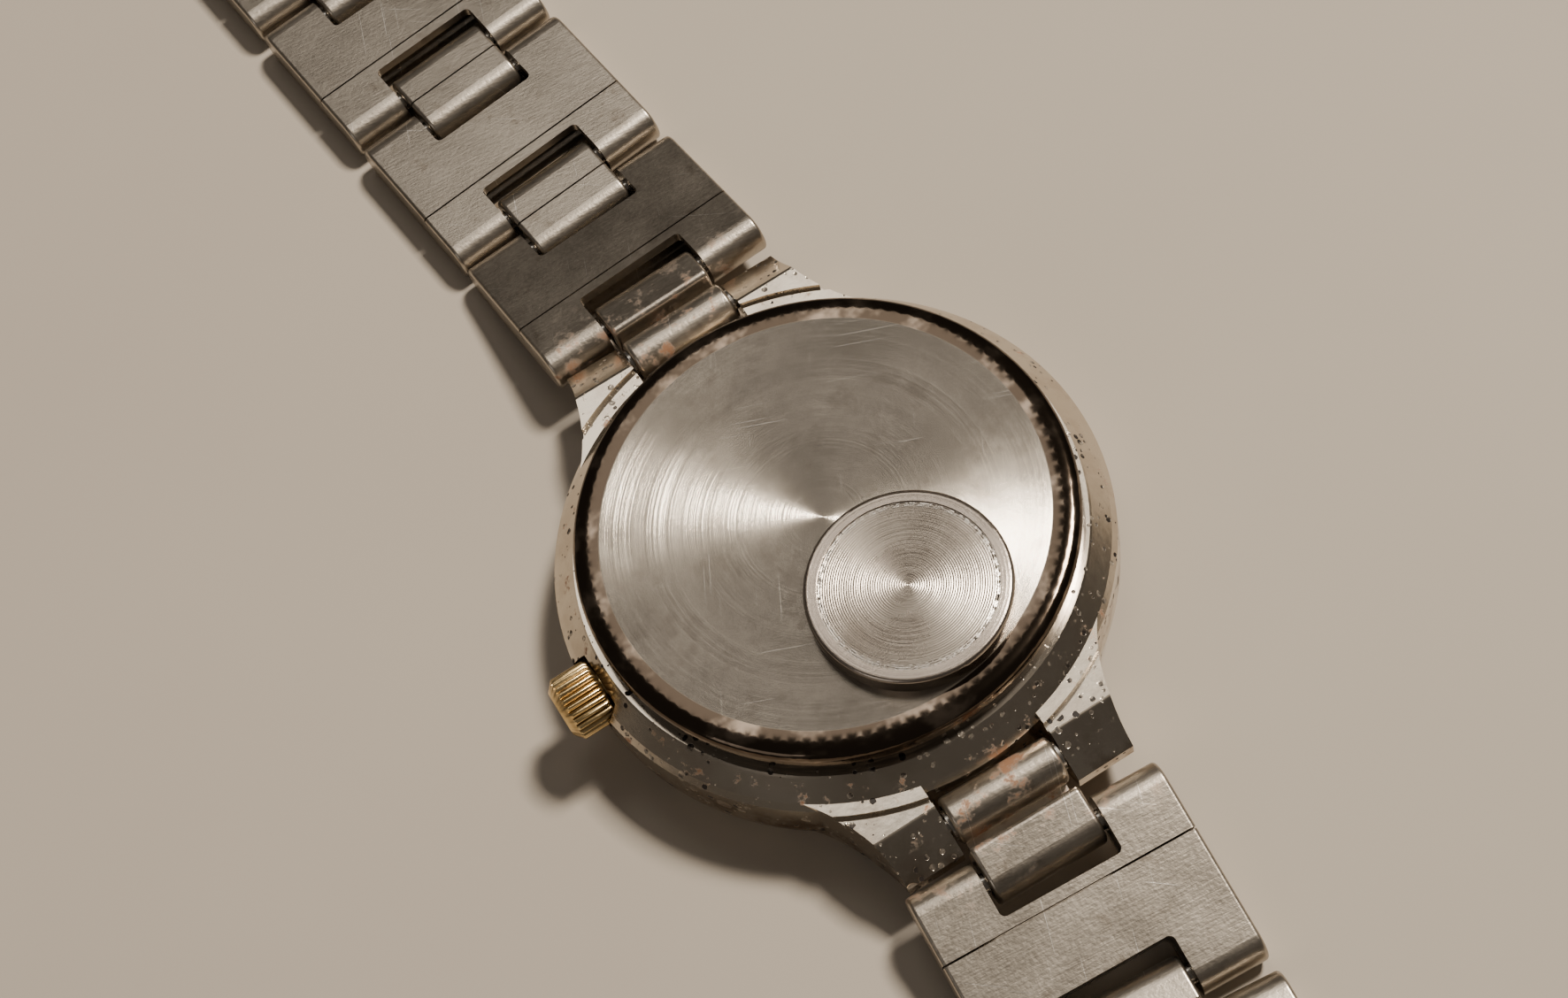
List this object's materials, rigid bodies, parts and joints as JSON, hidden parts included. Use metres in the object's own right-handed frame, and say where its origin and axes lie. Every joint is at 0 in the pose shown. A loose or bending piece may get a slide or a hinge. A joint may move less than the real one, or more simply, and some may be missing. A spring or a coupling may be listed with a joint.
{
  "type": "wristwatch",
  "caption": "Small quartz wristwatch lying face down: press-fitted steel back with a round battery hatch, fluted crown, and a folded-link bracelet laid out flat with its clasp open.",
  "frame": {"origin": "centre of the crystal's outer face, on the surface the watch lies on", "axes": "+Z out of the case back, +Y towards 12 o'clock, the crown on the -X side"},
  "size_m": [0.028, 0.1559, 0.0081],
  "materials": {
    "board": "solder mask",
    "brass": "machined brass",
    "copper": "lacquered copper winding",
    "dial_white": "matt white lacquer",
    "gold_plate": "worn gold plate",
    "hand_black": "black lacquer",
    "hand_red": "red lacquer",
    "link_steel": "satin folded steel",
    "magnet": "sintered magnet with a plastic hub",
    "mineral_glass": "clear mineral glass",
    "movement_plastic": "moulded plastic",
    "nylon": "natural nylon",
    "pin_steel": "drawn steel",
    "plated_brass": "worn plating over brass with pits",
    "polished_steel": "polished steel",
    "rubber": "nitrile rubber",
    "steel_back": "circular brushed stainless steel",
    "turned_steel": "spiral turned steel"
  },
  "bodies": {
    "head": {"case_body": "plated_brass", "crystal": "mineral_glass", "crystal_gasket": "nylon", "dial": "dial_white", "crown_tube": "brass", "spring_bars": "pin_steel", "main_plate": "brass", "movement_holder": "movement_plastic", "train_bridge": "brass", "circuit_board": "board", "coil": "copper", "stator": "polished_steel", "battery_contacts": "brass"},
    "back": {"case_back": "steel_back", "case_back_gasket": "rubber"},
    "hatch": {"battery_hatch": "turned_steel", "hatch_gasket": "rubber"},
    "cell": {"battery": "polished_steel"},
    "crown_slider": {"crown_gasket": "rubber"},
    "crown": {"crown": "gold_plate", "crown_stem": "pin_steel"},
    "rotor": {"rotor": "magnet"},
    "step_wheel": {"step_wheel": "brass"},
    "seconds": {"second_wheel": "brass", "second_hand": "hand_red"},
    "third_wheel": {"third_wheel": "brass"},
    "minutes": {"minute_wheel": "brass", "minute_hand": "hand_black"},
    "motion_wheel": {"motion_wheel": "brass"},
    "hours": {"hour_wheel": "brass", "hour_hand": "hand_black"},
    "upper_end_link": {"upper_end_link": "link_steel"},
    "upper_link_1": {"upper_link_1": "link_steel", "upper_pins_1": "pin_steel"},
    "upper_center_1": {"upper_center_1": "link_steel"},
    "upper_link_2": {"upper_link_2": "link_steel", "upper_pins_2": "pin_steel"},
    "upper_center_2": {"upper_center_2": "link_steel"},
    "upper_link_3": {"upper_link_3": "link_steel", "upper_pins_3": "pin_steel"},
    "upper_center_3": {"upper_center_3": "link_steel"},
    "upper_link_4": {"upper_link_4": "link_steel", "upper_pins_4": "pin_steel"},
    "clasp": {"clasp_base": "link_steel", "clasp_pin": "pin_steel"},
    "flap": {"clasp_flap": "link_steel"},
    "lower_end_link": {"lower_end_link": "link_steel"},
    "lower_link_1": {"lower_link_1": "link_steel", "lower_pins_1": "pin_steel"},
    "lower_center_1": {"lower_center_1": "link_steel"},
    "lower_link_2": {"lower_link_2": "link_steel", "lower_pins_2": "pin_steel"},
    "lower_center_2": {"lower_center_2": "link_steel"},
    "lower_link_3": {"lower_link_3": "link_steel", "lower_pins_3": "pin_steel"},
    "lower_center_3": {"lower_center_3": "link_steel"},
    "lower_link_4": {"lower_link_4": "link_steel", "lower_pins_4": "pin_steel"},
    "ladder": {"clasp_ladder": "link_steel"}
  },
  "joints": [
    {"name": "case_back_lift", "type": "slide", "parent": "head", "child": "back", "axis": [0, 0, 1], "range_m": [0, 0.01]},
    {"name": "hatch_lift", "type": "slide", "parent": "back", "child": "hatch", "axis": [0, 0, 1], "range_m": [0, 0.016]},
    {"name": "battery_lift", "type": "slide", "parent": "head", "child": "cell", "axis": [0, 0, 1], "range_m": [0, 0.008]},
    {"name": "crown_pull", "type": "slide", "parent": "head", "child": "crown_slider", "axis": [-1, 0, 0], "range_m": [0, 0.001]},
    {"name": "crown_turn", "type": "hinge", "parent": "crown_slider", "child": "crown", "pos_m": [-0.01255, 0, 0.0041], "axis": [-1, 0, 0], "continuous": true},
    {"name": "second_turn", "type": "hinge", "parent": "head", "child": "seconds", "pos_m": [0, 0, 0.004], "axis": [0, 0, 1], "continuous": true},
    {"name": "minute_turn", "type": "hinge", "parent": "head", "child": "minutes", "pos_m": [0, 0, 0.004], "axis": [0, 0, 1], "continuous": true},
    {"name": "hour_turn", "type": "hinge", "parent": "head", "child": "hours", "pos_m": [0, 0, 0.003], "axis": [0, 0, 1], "continuous": true},
    {"name": "third_wheel_turn", "type": "hinge", "parent": "head", "child": "third_wheel", "pos_m": [-0.00175, 0.00208, 0.0044], "axis": [0, 0, 1], "continuous": true},
    {"name": "motion_wheel_turn", "type": "hinge", "parent": "head", "child": "motion_wheel", "pos_m": [0, 0.0024, 0.0035], "axis": [0, 0, 1], "continuous": true},
    {"name": "step_wheel_turn", "type": "hinge", "parent": "head", "child": "step_wheel", "pos_m": [0.00216, 0.00151, 0.0048], "axis": [0, 0, 1], "continuous": true},
    {"name": "rotor_turn", "type": "hinge", "parent": "head", "child": "rotor", "pos_m": [0.00382, 0.00181, 0.0048], "axis": [0, 0, 1], "continuous": true},
    {"name": "upper_end_link_hinge", "type": "hinge", "parent": "head", "child": "upper_end_link", "pos_m": [0, 0.0145, 0.00355], "axis": [1, 0, 0], "range_deg": [0, 40]},
    {"name": "upper_link_1_hinge", "type": "hinge", "parent": "upper_end_link", "child": "upper_link_1", "pos_m": [-0.0001, 0.0176, 0.00278], "axis": [0.9978, 0.0663, 0], "range_deg": [-13.43, 12.57]},
    {"name": "upper_center_1_hinge", "type": "hinge", "parent": "upper_link_1", "child": "upper_center_1", "pos_m": [-0.0006, 0.0251, 0.0011], "axis": [0.9978, 0.0663, 0], "range_deg": [-24.57, 1.43]},
    {"name": "upper_link_2_hinge", "type": "hinge", "parent": "upper_center_1", "child": "upper_link_2", "pos_m": [-0.00085, 0.02769, 0.0011], "axis": [0.9942, 0.108, 0], "range_deg": [-12, 14]},
    {"name": "upper_center_2_hinge", "type": "hinge", "parent": "upper_link_2", "child": "upper_center_2", "pos_m": [-0.00169, 0.03534, 0.0011], "axis": [0.9942, 0.108, 0], "range_deg": [-12, 14]},
    {"name": "upper_link_3_hinge", "type": "hinge", "parent": "upper_center_2", "child": "upper_link_3", "pos_m": [-0.00197, 0.03793, 0.0011], "axis": [0.9942, 0.108, 0], "range_deg": [-12, 14]},
    {"name": "upper_center_3_hinge", "type": "hinge", "parent": "upper_link_3", "child": "upper_center_3", "pos_m": [-0.0028, 0.04558, 0.0011], "axis": [0.9942, 0.108, 0], "range_deg": [-12, 14]},
    {"name": "upper_link_4_hinge", "type": "hinge", "parent": "upper_center_3", "child": "upper_link_4", "pos_m": [-0.00308, 0.04817, 0.0011], "axis": [0.9942, 0.108, 0], "range_deg": [-12, 14]},
    {"name": "clasp_hinge", "type": "hinge", "parent": "upper_link_4", "child": "clasp", "pos_m": [-0.00391, 0.05582, 0.0011], "axis": [0.9942, 0.108, 0], "range_deg": [-12, 12]},
    {"name": "clasp_flap_hinge", "type": "hinge", "parent": "clasp", "child": "flap", "pos_m": [-0.00634, 0.07819, 0.0011], "axis": [0.9942, 0.108, 0], "range_deg": [0, 95]},
    {"name": "lower_end_link_hinge", "type": "hinge", "parent": "head", "child": "lower_end_link", "pos_m": [0, -0.0145, 0.00355], "axis": [-1, 0, 0], "range_deg": [0, 40]},
    {"name": "lower_link_1_hinge", "type": "hinge", "parent": "lower_end_link", "child": "lower_link_1", "pos_m": [-0.0001, -0.0176, 0.00278], "axis": [-0.9978, 0.0663, 0], "range_deg": [-13.43, 12.57]},
    {"name": "lower_center_1_hinge", "type": "hinge", "parent": "lower_link_1", "child": "lower_center_1", "pos_m": [-0.0006, -0.0251, 0.0011], "axis": [-0.9978, 0.0663, 0], "range_deg": [-24.57, 1.43]},
    {"name": "lower_link_2_hinge", "type": "hinge", "parent": "lower_center_1", "child": "lower_link_2", "pos_m": [-0.00085, -0.02769, 0.0011], "axis": [-0.9942, 0.108, 0], "range_deg": [-12, 14]},
    {"name": "lower_center_2_hinge", "type": "hinge", "parent": "lower_link_2", "child": "lower_center_2", "pos_m": [-0.00169, -0.03534, 0.0011], "axis": [-0.9942, 0.108, 0], "range_deg": [-12, 14]},
    {"name": "lower_link_3_hinge", "type": "hinge", "parent": "lower_center_2", "child": "lower_link_3", "pos_m": [-0.00197, -0.03793, 0.0011], "axis": [-0.9942, 0.108, 0], "range_deg": [-12, 14]},
    {"name": "lower_center_3_hinge", "type": "hinge", "parent": "lower_link_3", "child": "lower_center_3", "pos_m": [-0.0028, -0.04558, 0.0011], "axis": [-0.9942, 0.108, 0], "range_deg": [-12, 14]},
    {"name": "lower_link_4_hinge", "type": "hinge", "parent": "lower_center_3", "child": "lower_link_4", "pos_m": [-0.00308, -0.04817, 0.0011], "axis": [-0.9942, 0.108, 0], "range_deg": [-12, 14]},
    {"name": "clasp_ladder_hinge", "type": "hinge", "parent": "lower_link_4", "child": "ladder", "pos_m": [-0.00391, -0.05582, 0.0011], "axis": [-0.9942, 0.108, 0], "range_deg": [-12, 12]}
  ],
  "couplings": [
    {"joint": "battery_lift", "follows": "hatch_lift", "ratio": 0.5},
    {"joint": "minute_turn", "follows": "second_turn", "ratio": 0.016667},
    {"joint": "hour_turn", "follows": "second_turn", "ratio": 0.0013889},
    {"joint": "third_wheel_turn", "follows": "second_turn", "ratio": -0.13333},
    {"joint": "motion_wheel_turn", "follows": "second_turn", "ratio": -0.0055556},
    {"joint": "step_wheel_turn", "follows": "second_turn", "ratio": -5},
    {"joint": "rotor_turn", "follows": "second_turn", "ratio": 30}
  ]
}
